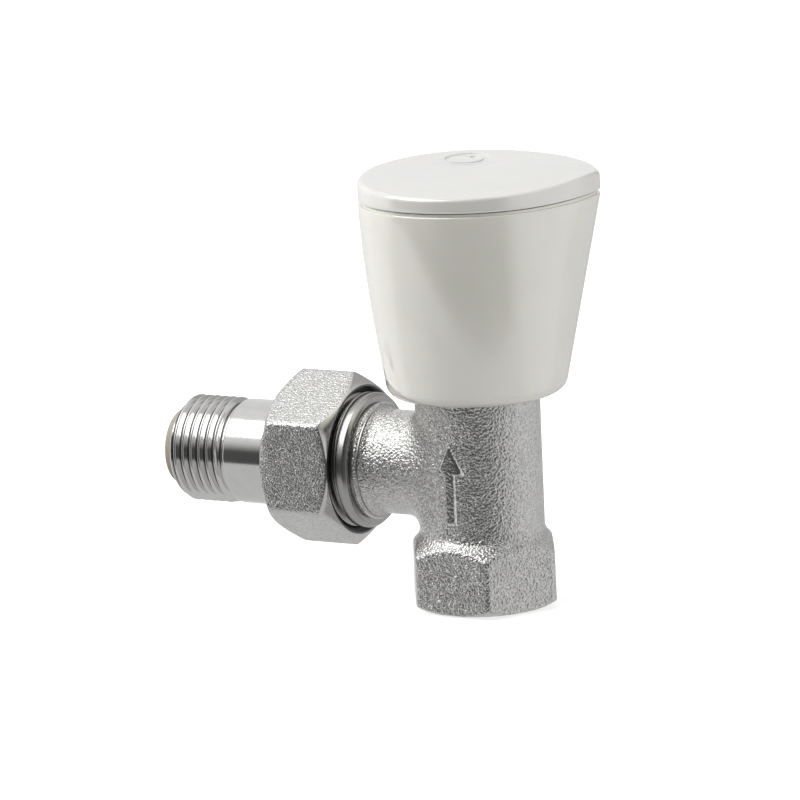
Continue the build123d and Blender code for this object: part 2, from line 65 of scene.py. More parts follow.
BRANCH_HEIGHT = (TAIL_LOW.z + TAIL_HIGH.z) / 2
UNION_FACE = -BODY_LOW.x
BARREL_TOP = BODY_HIGH.z

# pipe thread, 14 per inch, Whitworth form
PITCH = 25.4 / 14
THREAD_DEPTH = 0.640327 * PITCH
FLANK = tan(radians(27.5))
HALF_INCH = 20.955 / 2
THREE_QUARTER = 26.441 / 2
THREAD_PLAY = 0.08

# barrel and hexagon
HEX_FLATS = 27.0
HEX_TOP = 10.8
SHOULDER_TOP = 14.0
SHOULDER_ROUND = 0.6
SHOULDER_FILLET = 0.9
HEX_CORNER_ROUND = 0.7
HEX_BEVEL_RADIUS = 13.4
HEX_BEVEL_HEIGHT = 1.3
BARREL_RADIUS = 12.1
INLET_DEPTH = 12.0
INLET_CHAMFER = 0.9
INLET_GROOVE = 1.4            # a groove's middle, where its thread crosses +X
RUN_OUT = 0.6                 # how far an inside thread takes to fade into its relief
FUNNEL_DEPTH = 1.5            # the inlet narrows to the seat's bore
FUNNEL_SLOPE = 1.9
SEAT_RADIUS = 6.5
SEAT_LIP_RADIUS = 7.7
SEAT_HEIGHT = 18.8
CHAMBER_FLOOR = 16.8
CHAMBER_RADIUS = 9.0
CHAMBER_TOP = 33.5
BONNET_BORE = 9.5
EDGE_ROUND = 0.25             # where a bore breaks through a face
BURIED = 1.0                  # how far one shape reaches into the next

# raised flow arrow on the barrel's front
ARROW_FOOT = 17.5             # heights above the inlet's face
ARROW_NECK = 27.5
ARROW_SHAFT = 1.0             # half widths
ARROW_HEAD = 2.9
ARROW_HEAD_LENGTH = 6.0
ARROW_HEAD_SIDE = 6.66
ARROW_SLOPE = 0.45            # how wide its sides' slope is
ARROW_RAISED = 0.6

# branch and union, along the branch from the barrel's axis
BRANCH_RADIUS = 10.16
BRANCH_BORE = 6.8
FLARE_START = 19.4
FLARE_END = 21.6
FLARE_RADIUS = 11.5
FORGING_END = 22.1
FORGING_END_ROUND = 0.3
BRANCH_FILLET = 3.0
UNDERCUT_RADIUS = 11.15
COLLAR_START = 22.5
COLLAR_FACE = 12.6
COLLAR_CHAMFER = 0.7
COLLAR_END = 24.6
UNION_GROOVE = COLLAR_END + 1.2
UNION_CHAMFER = 1.3
SPIGOT_BORE = 9.0
SPIGOT_DEPTH = 5.9

NUT_START = -NUT_HIGH.x
NUT_END = -NUT_LOW.x
NUT_FLATS = 30.0
NUT_TURN = 33.0
NUT_SHOULDER = 37.55
NUT_MOUTH = 14.27
NUT_BEVEL = 1.9
NUT_FACE = NUT_FLATS / 2 * 0.985
NUT_SHADE = 2.2               # how deep from the nut's mouth its thread gets painted shade, a near-black nickel
NUT_TAIL_BORE = 10.6

FLANGE_RADIUS = 11.8
SHANK_RADIUS = 10.3
SHANK_END = 51.75
TAIL_THREAD_START = 53.4
TAIL_GROOVE = 54.34
TAIL_LAST_CREST = 63.0
TAIL_THREAD_END = 64.25
TAIL_BORE = 5.0
TIP_RADIUS = 6.4
KEY_FLATS = 10.1
KEY_DEPTH = 13.0
RING_RADIUS = (RING_HIGH.y - RING_LOW.y) / 2

# cap
CAP_TIP_ANGLE = 35.0
CAP_BOTTOM = SKIRT_LOW.z
CAP_RIM = 78.85
CAP_WALL = 2.6
FOOT_RADIUS, RIM_RADIUS = 17.0, 21.2
FOOT_POINT, RIM_POINT = 15.5, 8.0
FOOT_REACH, RIM_REACH = 17.15, 25.3
CAP_FLARE = 1.5
CAP_SIDE_RADIUS = 40.0
STEP_TOP = SKIRT_HIGH.z
STEP_INSET = 0.55
RIM_ROUND = 0.35
CAP_FOOT_ROUND = 2.2
DECK_BOTTOM = 71.0
DECK_TOP = 73.5
BOSS_RADIUS = 8.6
BOSS_BOTTOM = 60.5
SNAP_BOTTOM = LID_LOW.z       # the ring under the lid that snaps into the cap
SNAP_WALL = 1.4
LID_CEILING = 80.6
LID_BOTTOM = 79.55
LID_FOOT_ROUND = 0.25
LID_HEIGHT = 83.7
LID_TILT = 3.54
LID_RISE_ANGLE = 115.0
MARK_CENTRE = (-6.5, 12.0)
MARK_RADIUS = 4.35
# the lid's top dips beside its point: where, how wide before and behind, from how far out
DIP_ANGLE = 36.0
DIP_WIDTHS = (16.0, 7.0)
DIP_START, DIP_SPAN = 15.0, 10.0
DIP_DEPTH = 0.7
# the rounding of the lid's top edge: at its point, added round the back, and beside the point
EDGE_POINT = 0.35
EDGE_BACK = 0.75
EDGE_SOFT, EDGE_SOFT_TURN, EDGE_SOFT_WIDTH = 1.1, 0.12, 0.3
# inside the cap
SCREW_HOLE = 2.2
INSERT_FLATS = 12.1
RIB_BOTTOM = 63.0
RIB_HALF = 0.75
FILLET = 0.6

# ---- mesh helpers ---------------------------------------------------------------------------
AROUND = 144                  # columns around a turned piece
SHARP_ANGLE = radians(32)
SAME_POINT = 2e-6             # metres
ROUND_STEPS = 3               # pieces in the rounding of a turned corner
TURNED_ROUND = 0.12


def finish_mesh(name, points, faces, materials, body, face_slots=None):
    """A Blender object from points in millimetres, with its seams welded and its edges marked."""
    mesh = bpy.data.meshes.new(name)
    mesh.from_pydata((np.asarray(points, float) * MM).tolist(), [], faces)
    for material in materials:
        mesh.materials.append(material)
    if face_slots is not None:
        mesh.polygons.foreach_set("material_index", np.asarray(face_slots, np.int32))
    weld(mesh)
    mesh.polygons.foreach_set("use_smooth", np.ones(len(mesh.polygons), bool))
    piece = bpy.data.objects.new(name, mesh)
    bpy.context.scene.collection.objects.link(piece)
    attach(piece, body)
    return piece


def weld(mesh):
    """Join the points that coincide, turn the faces outwards and mark the sharp edges."""
    bm = bmesh.new()
    bm.from_mesh(mesh)
    bmesh.ops.remove_doubles(bm, verts=bm.verts, dist=SAME_POINT)
    bmesh.ops.dissolve_degenerate(bm, edges=bm.edges, dist=1e-7)
    bmesh.ops.recalc_face_normals(bm, faces=bm.faces)
    for edge in bm.edges:
        if len(edge.link_faces) == 2:
            edge.smooth = edge.calc_face_angle(0.0) < SHARP_ANGLE
    bm.to_mesh(mesh)
    bm.free()


def grid_faces(rows, columns, loop):
    """Quads between neighbouring rows; `loop` also joins the last row to the first."""
    i = np.arange(rows if loop else rows - 1)
    j = np.arange(columns - 1)
    i, j = np.meshgrid(i, j, indexing="ij")
    k = (i + 1) % rows
    corners = [i * columns + j, i * columns + j + 1, k * columns + j + 1, k * columns + j]
    return np.stack(corners, -1).reshape(-1, 4)


def skinned(name, rows, materials, body, row_slots=None):
    """A closed piece from rows of points.  Each row runs once around and ends on its first point."""
    rows = np.array(rows, float)
    faces = grid_faces(*rows.shape[:2], True).tolist()
    slots = None if row_slots is None else np.repeat(row_slots, rows.shape[1] - 1)
    return finish_mesh(name, rows.reshape(-1, 3), faces, materials, body, slots)


def on_barrel(radius, height, angle):
    """Points round the barrel's upright axis, from +X towards +Y."""
    radius, height, angle = np.broadcast_arrays(radius, height, angle)
    return np.stack([radius * np.cos(angle), radius * np.sin(angle), height], -1)


def on_branch(radius, distance, angle):
    """Points round the branch's axis, from its -Y side towards +Z, at a distance from the barrel's."""
    radius, distance, angle = np.broadcast_arrays(radius, distance, angle)
    return np.stack([-distance, -radius * np.cos(angle), BRANCH_HEIGHT + radius * np.sin(angle)], -1)


def rounded(outline, radius, steps=ROUND_STEPS):
    """Round every corner of a closed outline; a point's third value overrides the radius."""
    points = [np.array(p[:2], float) for p in outline]
    out = []
    for i, corner in enumerate(points):
        before = points[i - 1] - corner
        after = points[(i + 1) % len(points)] - corner
        size = outline[i][2] if len(outline[i]) > 2 else radius
        reach = min(size, 0.45 * np.hypot(*before), 0.45 * np.hypot(*after))
        start = corner + before / np.hypot(*before) * reach
        end = corner + after / np.hypot(*after) * reach
        for k in range(steps + 1):
            t = k / steps
            out.append((1 - t) ** 2 * start + 2 * t * (1 - t) * corner + t ** 2 * end)
    return out


def open_outline(outline, radius=TURNED_ROUND):
    """A rounded outline less its two end corners, which only say which way it goes on."""
    return rounded(outline, radius)[ROUND_STEPS + 1:-ROUND_STEPS - 1]


def turned(name, outline, place, materials, body, radius, steps):
    """A closed turned piece from a (radius, distance) outline with rounded corners."""
    angle = np.linspace(0, 2 * pi, AROUND + 1)
    rows = [place(r, s, angle) for r, s in rounded(outline, radius, steps)]
    return skinned(name, rows, materials, body)


# where the rows of one thread turn lie, from the groove's middle, as shares of the pitch
TURN_ROWS = np.array([-0.5, -0.455, -0.42, -0.385, -0.33, -0.22, -0.13, -0.085, -0.04,
                      0.04, 0.085, 0.13, 0.22, 0.33, 0.385, 0.42, 0.455])
SHADE_FROM, SHADE_TO = -0.135, 0.09      # the rows in a groove that get painted shade, a near-black nickel for the roots' shade


def thread_height(share):
    """The height of the thread form at a share of the pitch from a groove's middle: 0 root, 1 crest."""
    floor = (PITCH - 2 * THREAD_DEPTH * FLANK) / 4
    up = (np.abs(share) * PITCH - floor) / (THREAD_DEPTH * FLANK)
    soft = 0.18
    low = np.clip(up + soft, 0, 2 * soft) ** 2 / (4 * soft)
    high = np.clip(1 + soft - up, 0, 2 * soft) ** 2 / (4 * soft)
    return np.where(up < soft, low, np.where(up > 1 - soft, 1 - high, up))


def thread_rows(angle, groove, start, end, crest, envelope):
    """Rows of a right-hand helical thread between two distances, kept inside an envelope.

    `groove` is where a groove's middle crosses angle 0.  `envelope` lists (distance, radius):
    outside threads stay under it, and `crest` below the root's radius makes an inside thread.
    """
    outside = crest[0] > crest[1]
    first = int(np.floor((start - groove) / PITCH)) - 2
    last = int(np.ceil((end - groove) / PITCH)) + 1
    rows = []
    for turn in range(first, last + 1):
        for share in TURN_ROWS:
            distance = np.clip(groove + (turn + share + angle / (2 * pi)) * PITCH, start, end)
            phase = (distance - groove) / PITCH - angle / (2 * pi)
            phase -= np.round(phase)
            radius = crest[1] + (crest[0] - crest[1]) * thread_height(phase)
            limit = np.interp(distance, *zip(*envelope))
            radius = np.minimum(radius, limit) if outside else np.maximum(radius, limit)
            rows.append((radius, distance))
    return rows


def surface_net(distance_to, low, high, step):
    """A closed quad mesh of the zero surface of a distance function, moved exactly onto it."""
    axes = [np.arange(a, b + step, step) for a, b in zip(low, high)]
    field = distance_to(*np.meshgrid(*axes, indexing="ij"))
    inside = field < 0
    counts = sum(inside[i:inside.shape[0] - 1 + i, j:inside.shape[1] - 1 + j, k:inside.shape[2] - 1 + k]
                 .astype(np.int8) for i in (0, 1) for j in (0, 1) for k in (0, 1))
    active = (counts > 0) & (counts < 8)
    cells = np.argwhere(active)
    number = np.full(active.shape, -1, np.int64)
    number[active] = np.arange(len(cells))
    total = np.zeros((len(cells), 3))
    hits = np.zeros(len(cells))
    units = np.eye(3, dtype=int)
    for axis in range(3):
        others = [a for a in range(3) if a != axis]
        for p in (0, 1):
            for q in (0, 1):
                shift = p * units[others[0]] + q * units[others[1]]
                a = field[tuple((cells + shift).T)]
                b = field[tuple((cells + shift + units[axis]).T)]
                cross = (a < 0) != (b < 0)
                t = np.where(cross, a / np.where(cross, a - b, 1), 0)
                total += cross[:, None] * (shift + t[:, None] * units[axis])
                hits += cross
    points = np.array(low) + (cells + total / hits[:, None]) * step
    quads = []
    for axis in range(3):
        b, c = [units[a] for a in range(3) if a != axis]
        here = inside[tuple(slice(0, -1) if a == axis else slice(1, -1) for a in range(3))]
        there = inside[tuple(slice(1, None) if a == axis else slice(1, -1) for a in range(3))]
        at = np.argwhere(here != there) + b + c
        ring = np.stack([number[tuple((at - d).T)] for d in (b + c, b, 0 * b, c)], -1)
        out = inside[tuple(at.T)] == (axis != 1)
        ring[~out] = ring[~out][:, ::-1]
        quads.append(ring)
    for _ in range(3):
        points = onto_surface(distance_to, points, step)
    return points, np.concatenate(quads)


def onto_surface(distance_to, points, step):
    """One step of each point along the distance's slope, towards the surface."""
    probe = 0.02
    here = distance_to(*points.T)
    slope = np.stack([distance_to(*(points + probe * e).T) - distance_to(*(points - probe * e).T)
                      for e in np.eye(3)], -1) / (2 * probe)
    length = np.maximum(np.linalg.norm(slope, axis=1), 0.3)
    move = np.clip(here / length ** 2, -step / 2, step / 2)
    return points - move[:, None] * slope


def smooth_max(a, b, size):
    near = np.maximum(size - np.abs(a - b), 0) / size
    return np.maximum(a, b) + near * near * size / 4


def smooth_min(a, b, size):
    return -smooth_max(-a, -b, size)


# ---- materials ------------------------------------------------------------------------------


class Look:
    """A node material on one Principled shader, with a few short calls to wire its texture."""

    def __init__(self, name, color, **sockets):
        self.material = bpy.data.materials.new(name)
        self.material.use_nodes = True
        self.tree = self.material.node_tree
        self.shader = self.tree.nodes["Principled BSDF"]
        self.shader.inputs["Base Color"].default_value = (*color, 1)
        for socket, value in sockets.items():
            self.shader.inputs[socket.replace("_", " ")].default_value = value
        self.place = self.node("ShaderNodeTexCoord").outputs["Object"]
        self.bumped = None

    def node(self, kind, **settings):
        node = self.tree.nodes.new(kind)
        for key, value in settings.items():
            setattr(node, key, value)
        return node

    def link(self, source, target):
        self.tree.links.new(source, target)

    def noise(self, size_mm, detail=3.0, roughness=0.5, place=None):
        node = self.node("ShaderNodeTexNoise")
        self.link(place or self.place, node.inputs["Vector"])
        node.inputs["Scale"].default_value = 1 / (size_mm * MM)
        node.inputs["Detail"].default_value = detail
        node.inputs["Roughness"].default_value = roughness
        return node.outputs["Fac"]

    def cells(self, size_mm):
        node = self.node("ShaderNodeTexVoronoi", feature="SMOOTH_F1")
        self.link(self.place, node.inputs["Vector"])
        node.inputs["Scale"].default_value = 1 / (size_mm * MM)
        return node.outputs["Distance"]

    def scaled(self, value, low, high, start=0.0, end=1.0):
        node = self.node("ShaderNodeMapRange")
        self.link(value, node.inputs["Value"])
        for socket, number in zip(("From Min", "From Max", "To Min", "To Max"), (start, end, low, high)):
            node.inputs[socket].default_value = number
        return node.outputs["Result"]

    def add(self, a, b):
        node = self.node("ShaderNodeMath", operation="ADD")
        self.link(a, node.inputs[0])
        self.link(b, node.inputs[1])
        return node.outputs[0]

    def tint(self, value, dark, light, start=0.3, end=0.7):
        node = self.node("ShaderNodeValToRGB")
        node.color_ramp.elements[0].position = start
        node.color_ramp.elements[0].color = (*dark, 1)
        node.color_ramp.elements[1].position = end
        node.color_ramp.elements[1].color = (*light, 1)
        self.link(value, node.inputs["Fac"])
        self.link(node.outputs["Color"], self.shader.inputs["Base Color"])

    def roughness(self, value, low, high, start=0.3, end=0.7):
        self.link(self.scaled(value, low, high, start, end), self.shader.inputs["Roughness"])

    def bump(self, value, depth_mm):
        node = self.node("ShaderNodeBump")
        node.inputs["Strength"].default_value = 1.0
        node.inputs["Distance"].default_value = depth_mm * MM
        self.link(value, node.inputs["Height"])
        if self.bumped:
            self.link(self.bumped, node.inputs["Normal"])
        self.bumped = node.outputs["Normal"]
        self.link(self.bumped, self.shader.inputs["Normal"])

    def rings(self, size_mm, about):
        """A texture place that is the same all the way round an axis, for lathe marks."""
        split = self.node("ShaderNodeSeparateXYZ")
        self.link(self.place, split.inputs[0])
        out = {name: split.outputs[name] for name in "XYZ"}
        if about == "branch":
            lifted = self.node("ShaderNodeMath", operation="SUBTRACT")
            self.link(out["Z"], lifted.inputs[0])
            lifted.inputs[1].default_value = BRANCH_HEIGHT * MM
            across, along = (out["Y"], lifted.outputs[0]), out["X"]
        else:
            across, along = (out["X"], out["Y"]), out["Z"]
        flat = self.node("ShaderNodeCombineXYZ")
        self.link(across[0], flat.inputs[0])
        self.link(across[1], flat.inputs[1])
        length = self.node("ShaderNodeVectorMath", operation="LENGTH")
        self.link(flat.outputs[0], length.inputs[0])
        place = self.node("ShaderNodeCombineXYZ")
        self.link(length.outputs["Value"], place.inputs[0])
        self.link(along, place.inputs[1])
        return self.noise(size_mm, 2.0, 0.6, place.outputs[0])


def grained_nickel(name, color, grain_mm, depth_mm, rough):
    """Satin nickel plate over a shot-blasted surface."""
    look = Look(name, color, Metallic=1.0)
    dents = look.cells(grain_mm)
    soft = look.noise(grain_mm * 0.8, 2.0, 0.55)
    dark, light = [c * 0.8 for c in color], [c * 1.08 for c in color]
    look.tint(look.noise(grain_mm, 2.0, 0.6), dark, light, 0.38, 0.6)
    look.roughness(look.noise(3.5), rough - 0.03, rough + 0.03)
    look.bump(look.add(dents, soft), depth_mm)
    return look.material


def turned_nickel(name, color, about, rough, line_mm=0.09, depth_mm=0.004):
    """Nickel plate over a turned surface, with faint lathe marks."""
    look = Look(name, color, Metallic=1.0)
    marks = look.rings(line_mm, about)
    look.tint(look.noise(2.2), [c * 0.95 for c in color], color)
    look.roughness(marks, rough * 0.7, rough * 1.35)
    look.bump(marks, depth_mm)
    look.bump(look.noise(0.8, 2.0), 0.003)
    return look.material


def plated(name, color, rough):
    """A small plated steel piece, with fine marks all over."""
    look = Look(name, color, Metallic=1.0)
    marks = look.noise(0.12, 2.0)
    look.tint(look.noise(1.6), [c * 0.86 for c in color], [min(c * 1.06, 1) for c in color])
    look.roughness(look.noise(0.7), rough * 0.75, rough * 1.35)
    look.bump(marks, 0.003)
    return look.material


def moulded(name, color, rough, grain_mm, depth_mm, **sockets):
    """Moulded plastic or rubber: a faint waviness and a slight tone change."""
    look = Look(name, color, **sockets)
    look.tint(look.noise(9.0, 2.0), [c * 0.975 for c in color], [min(c * 1.01, 1) for c in color])
    look.roughness(look.noise(2.5), rough * 0.88, rough * 1.12)
    look.bump(look.noise(grain_mm, 3.0), depth_mm)
    return look.material


FORGED = grained_nickel("forged_nickel", (0.68, 0.675, 0.66), 0.46, 0.21, 0.08)
RAISED = grained_nickel("raised_mark_nickel", (0.80, 0.795, 0.78), 0.5, 0.045, 0.15)
NUT_GRAIN = grained_nickel("nut_grained_nickel", (0.665, 0.66, 0.645), 0.38, 0.135, 0.08)
TURNED_BRANCH = turned_nickel("turned_nickel_branch", (0.70, 0.69, 0.675), "branch", 0.20)
TURNED_BARREL = turned_nickel("turned_nickel_barrel", (0.70, 0.69, 0.675), "barrel", 0.20)
# painted shade: the branch's machined end is a darker nickel, standing in for the shade in the nut's mouth
SHADE_PAINTED_COLLAR = turned_nickel("turned_nickel_collar_painted_shade", (0.46, 0.455, 0.445), "branch", 0.24)
BRIGHT = turned_nickel("bright_nickel", (0.74, 0.735, 0.725), "branch", 0.11, 0.14, 0.0015)
# painted shade: a near-black nickel laid on thread roots and the nut's mouth in place of their shade
SHADE_PAINTED_THREAD = turned_nickel("painted_shade_thread_root", (0.15, 0.15, 0.155), "branch", 0.32)
BRASS = turned_nickel("plain_brass", (0.76, 0.56, 0.25), "barrel", 0.26)
STEEL = plated("plated_steel", (0.62, 0.62, 0.60), 0.26)
RUBBER = moulded("black_rubber", (0.025, 0.025, 0.026), 0.55, 0.25, 0.008)
CREAM = moulded("cream_seal", (0.42, 0.385, 0.32), 0.52, 0.35, 0.02)
FIBRE = moulded("red_fibre", (0.34, 0.075, 0.045), 0.75, 0.2, 0.03)
PTFE = moulded("white_ptfe", (0.84, 0.84, 0.81), 0.42, 0.3, 0.005)
GLOSS = dict(Coat_Weight=1.0, Coat_Roughness=0.03, Coat_IOR=1.8, Specular_IOR_Level=1.0,
             Subsurface_Weight=0.08, Subsurface_Scale=0.002)
CAP_WHITE = moulded("cap_white", (0.805, 0.79, 0.72), 0.07, 2.5, 0.002, **GLOSS)
LID_WHITE = moulded("lid_white", (0.78, 0.77, 0.735), 0.12, 2.5, 0.002, **GLOSS)

NODE_LOOKS = {
    "tail_o_ring": RUBBER, "bonnet": BRASS, "bonnet_seal": FIBRE, "gland_nut": BRASS,
    "gland_washer": PTFE, "spindle_o_ring_upper": RUBBER, "spindle_o_ring_lower": RUBBER,
    "thrust_washer": PTFE, "spindle": BRASS, "spindle_circlip": STEEL, "plug_carrier": BRASS,
    "plug_washer": RUBBER, "plug_washer_screw": STEEL, "cap_drive_insert": BRASS,
    "cap_screw": STEEL, "cap_screw_washer": STEEL,
}
for node, look in NODE_LOOKS.items():
    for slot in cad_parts[node].material_slots:
        slot.material = look


# ---- valve body -----------------------------------------------------------------------------
FORGING_STEP = 0.3            # the size of its mesh's cells
FORGING_REACH = 16.0          # half the width of the box that its mesh is drawn in
LINER_RADIUS = 10.85
OUTLET_START = 8.0


def raised_arrow(x, z):
    """How far the flow arrow on the barrel's front stands out, 0 to 1."""
    top = ARROW_NECK + 2 * BURIED
    shaft = np.maximum(np.abs(x) - ARROW_SHAFT, np.maximum(ARROW_FOOT - z, z - top))
    side = ARROW_HEAD_LENGTH * (np.abs(x) - ARROW_HEAD) + ARROW_HEAD * (z - ARROW_NECK)
    head = np.maximum(side / ARROW_HEAD_SIDE, ARROW_NECK - z)
    share = np.clip(0.5 - np.minimum(shaft, head) / ARROW_SLOPE, 0, 1)
    return share * share * (3 - 2 * share)


def forging_distance(x, y, z):
    """The forging as one distance: hexagon, shoulder, barrel and branch, less its passages."""
    across = np.hypot(x, y)
    barrel = across - BARREL_RADIUS - ARROW_RAISED * raised_arrow(x, z) * (y < 0)
    barrel = smooth_max(barrel, z - BARREL_TOP, 2 * EDGE_ROUND)
    barrel = np.maximum(barrel, BURIED - z)
    flats = np.full(np.shape(x), -1e3)
    for k in range(6):
        turn = radians(30 + 60 * k)
        flats = smooth_max(flats, x * cos(turn) + y * sin(turn) - HEX_FLATS / 2, HEX_CORNER_ROUND)
    corner = HEX_FLATS / 3 ** 0.5
    rise, run = SHOULDER_TOP - HEX_TOP, corner - BARREL_RADIUS
    slope = (rise * (across - BARREL_RADIUS) + run * (z - SHOULDER_TOP)) / np.hypot(rise, run)
    hexagon = smooth_max(flats, slope, SHOULDER_ROUND)
    rise, run = HEX_BEVEL_HEIGHT, corner - HEX_BEVEL_RADIUS
    bevel = (rise * (across - HEX_BEVEL_RADIUS) - run * z) / np.hypot(rise, run)
    hexagon = np.maximum(smooth_max(hexagon, bevel, EDGE_ROUND), -z)
    solid = smooth_min(barrel, hexagon, SHOULDER_FILLET)

    out = -x
    ring = np.hypot(y, z - BRANCH_HEIGHT)
    flare = np.clip((out - FLARE_START) / (FLARE_END - FLARE_START), 0, 1) ** 2
    branch = ring - BRANCH_RADIUS - (FLARE_RADIUS - BRANCH_RADIUS) * flare
    branch = smooth_max(branch, out - FORGING_END, FORGING_END_ROUND)
    branch = np.maximum(branch, -out)
    solid = smooth_min(solid, branch, BRANCH_FILLET)

    inlet = np.maximum(across - LINER_RADIUS, z - INLET_DEPTH)
    funnel = np.maximum(INLET_DEPTH + FUNNEL_DEPTH - z, 0) * FUNNEL_SLOPE
    passage = np.maximum(across - SEAT_RADIUS - funnel,
                         np.maximum(z - SEAT_HEIGHT - BURIED, INLET_DEPTH - BURIED - z))
    lip = np.maximum(across - SEAT_LIP_RADIUS, z - SEAT_HEIGHT)
    chamber = np.maximum(across - CHAMBER_RADIUS, np.maximum(CHAMBER_FLOOR - z, z - CHAMBER_TOP - BURIED))
    chamber = np.maximum(chamber, -lip)
    top = np.maximum(across - BONNET_BORE, CHAMBER_TOP - z)
    outlet = np.maximum(ring - BRANCH_BORE, CHAMBER_RADIUS - 3 - out)
    hollow = np.minimum.reduce([inlet, passage, chamber, top, outlet])
    return smooth_max(solid, -hollow, EDGE_ROUND)


def forging():
    """The forging's mesh, with its machined faces and its arrow in slots of their own."""
    low = np.array([-FORGING_END - 1.0, -FORGING_REACH, -0.6])
    high = np.array([FORGING_REACH + 1.0, FORGING_REACH, BARREL_TOP + 0.6])
    points, faces = surface_net(forging_distance, low, high, FORGING_STEP)
    middle = points[faces].mean(1)
    across = np.hypot(middle[:, 0], middle[:, 1])
    ring = np.hypot(middle[:, 1], middle[:, 2] - BRANCH_HEIGHT)
    ends = (middle[:, 2] < 0.12) | (middle[:, 2] > BARREL_TOP - 0.1)
    in_outlet = ring < BRANCH_BORE + 0.15
    in_barrel = -middle[:, 0] < OUTLET_START
    inner = (across < LINER_RADIUS + 0.1) & (in_outlet | in_barrel)
    outlet = in_outlet & ~in_barrel
    arrow = raised_arrow(middle[:, 0], middle[:, 2]) > 0.15
    marked = arrow & (middle[:, 1] < 0) & (across > BARREL_RADIUS)
    slots = np.select([ends | inner, outlet, marked], [1, 2, 3], 0)
    looks = [FORGED, TURNED_BARREL, TURNED_BRANCH, RAISED]
    return finish_mesh("valve_body_forging", points, faces.tolist(), looks, "body", slots)


def union_end():
    """The machined end of the branch: undercut, collar, helical G 3/4 thread and spigot bore."""
    angle = np.linspace(0, 2 * pi, AROUND + 1)
    root = THREE_QUARTER - THREAD_DEPTH
    inner = FORGING_END - 1.1     # it starts inside the forging
    wall = BRANCH_BORE + 0.6
    bore = BRANCH_BORE - 0.03
    start = open_outline([(wall, inner), (UNDERCUT_RADIUS, inner), (UNDERCUT_RADIUS, COLLAR_START),
                          (COLLAR_FACE, COLLAR_START), (THREE_QUARTER, COLLAR_START + COLLAR_CHAMFER),
                          (THREE_QUARTER, COLLAR_END), (root, COLLAR_END + 0.1)])
    envelope = [(COLLAR_END, THREE_QUARTER), (UNION_FACE - UNION_CHAMFER, THREE_QUARTER),
                (UNION_FACE - 0.15, root - 0.2), (UNION_FACE, root - 0.3)]
    thread = thread_rows(angle, UNION_GROOVE, COLLAR_END, UNION_FACE, (THREE_QUARTER, root), envelope)
    end = open_outline([(root - 0.4, UNION_FACE), (SPIGOT_BORE + 0.3, UNION_FACE),
                        (SPIGOT_BORE, UNION_FACE - 0.3), (SPIGOT_BORE, UNION_FACE - SPIGOT_DEPTH),
                        (bore, UNION_FACE - SPIGOT_DEPTH), (bore, inner), (wall, inner)], 0.1)
    rows = [on_branch(r, s, angle) for r, s in start + thread + end]
    # painted shade: the whole machined end takes the darker collar nickel
    return skinned("valve_body_union_end", rows, [SHADE_PAINTED_COLLAR], "body")


def inlet_liner():
    """The helical G 1/2 thread inside the inlet."""
    angle = np.linspace(0, 2 * pi, AROUND + 1)
    root = HALF_INCH
    crest = HALF_INCH - THREAD_DEPTH
    envelope = [(0, crest + 1.1), (INLET_CHAMFER, crest), (INLET_DEPTH - 2 * RUN_OUT, crest),
                (INLET_DEPTH - RUN_OUT, root), (INLET_DEPTH, root)]
    thread = thread_rows(angle, INLET_GROOVE, 0.0, INLET_DEPTH, (crest, root), envelope)
    outer = [(LINER_RADIUS + 0.2, INLET_DEPTH + 0.2), (LINER_RADIUS + 0.2, 0.02)]
    rows = [on_barrel(r, s, angle) for r, s in thread + outer]
    return skinned("valve_body_inlet_thread", rows, [TURNED_BARREL], "body")


body_pieces = [forging(), union_end(), inlet_liner()]
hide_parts("valve_body")


# ---- union nut ------------------------------------------------------------------------------
EASED = 60                    # how sharp a hexagon's corners are: rounded by a few tenths
CRISP = 200                   # or nearly square


def hexagon_radius(angle, flats, turn, sharpness=EASED):
    """The radius of a hexagon with slightly rounded corners, one of them at `turn`."""
    total = sum(np.maximum(np.cos(angle - turn - radians(30 + 60 * k)), 0) ** sharpness for k in range(6))
    return flats / 2 / total ** (1 / sharpness)


def hexagon_angles(turn):
    """Columns around a hexagon, closer together near its corners."""
    half = np.array([0, 0.5, 1.1, 1.9, 3.0, 4.6, 7.0, 10.0, 13.3, 16.6, 20.0, 23.4, 26.7])
    sector = np.concatenate([half, [30.0], 60 - half[:0:-1]])
    return turn + np.radians(np.concatenate([sector + 60 * k for k in range(6)] + [[360.0]]))


def bevelled_rows(angle, flats, turn, start, end, bevel, face):
    """Rows over a hexagon whose ends are turned off to the radius `face`."""
    hexagon = hexagon_radius(angle, flats, turn)
    steep = bevel / (flats / 3 ** 0.5 - face)
    depth = (hexagon - face) * steep
    ease = np.minimum(0.14, depth * 0.6)
    side = depth + 0.6 * ease
    rows = [(face - 0.14, start + 0 * angle), (face + 0.1, start + 0.05 + 0 * angle)]
    rows.append((hexagon - ease / steep, start + depth - ease))
    rows.append((hexagon - 0.25 * ease / steep, start + depth - 0.1 * ease))
    rows.append((hexagon, start + side))
    mirrored = [(r, start + end - s) for r, s in rows[::-1]]
    for share in (0.1, 0.3, 0.5, 0.7, 0.9):
        rows.append((hexagon, start + side + share * (end - start - 2 * side)))
    return rows + mirrored


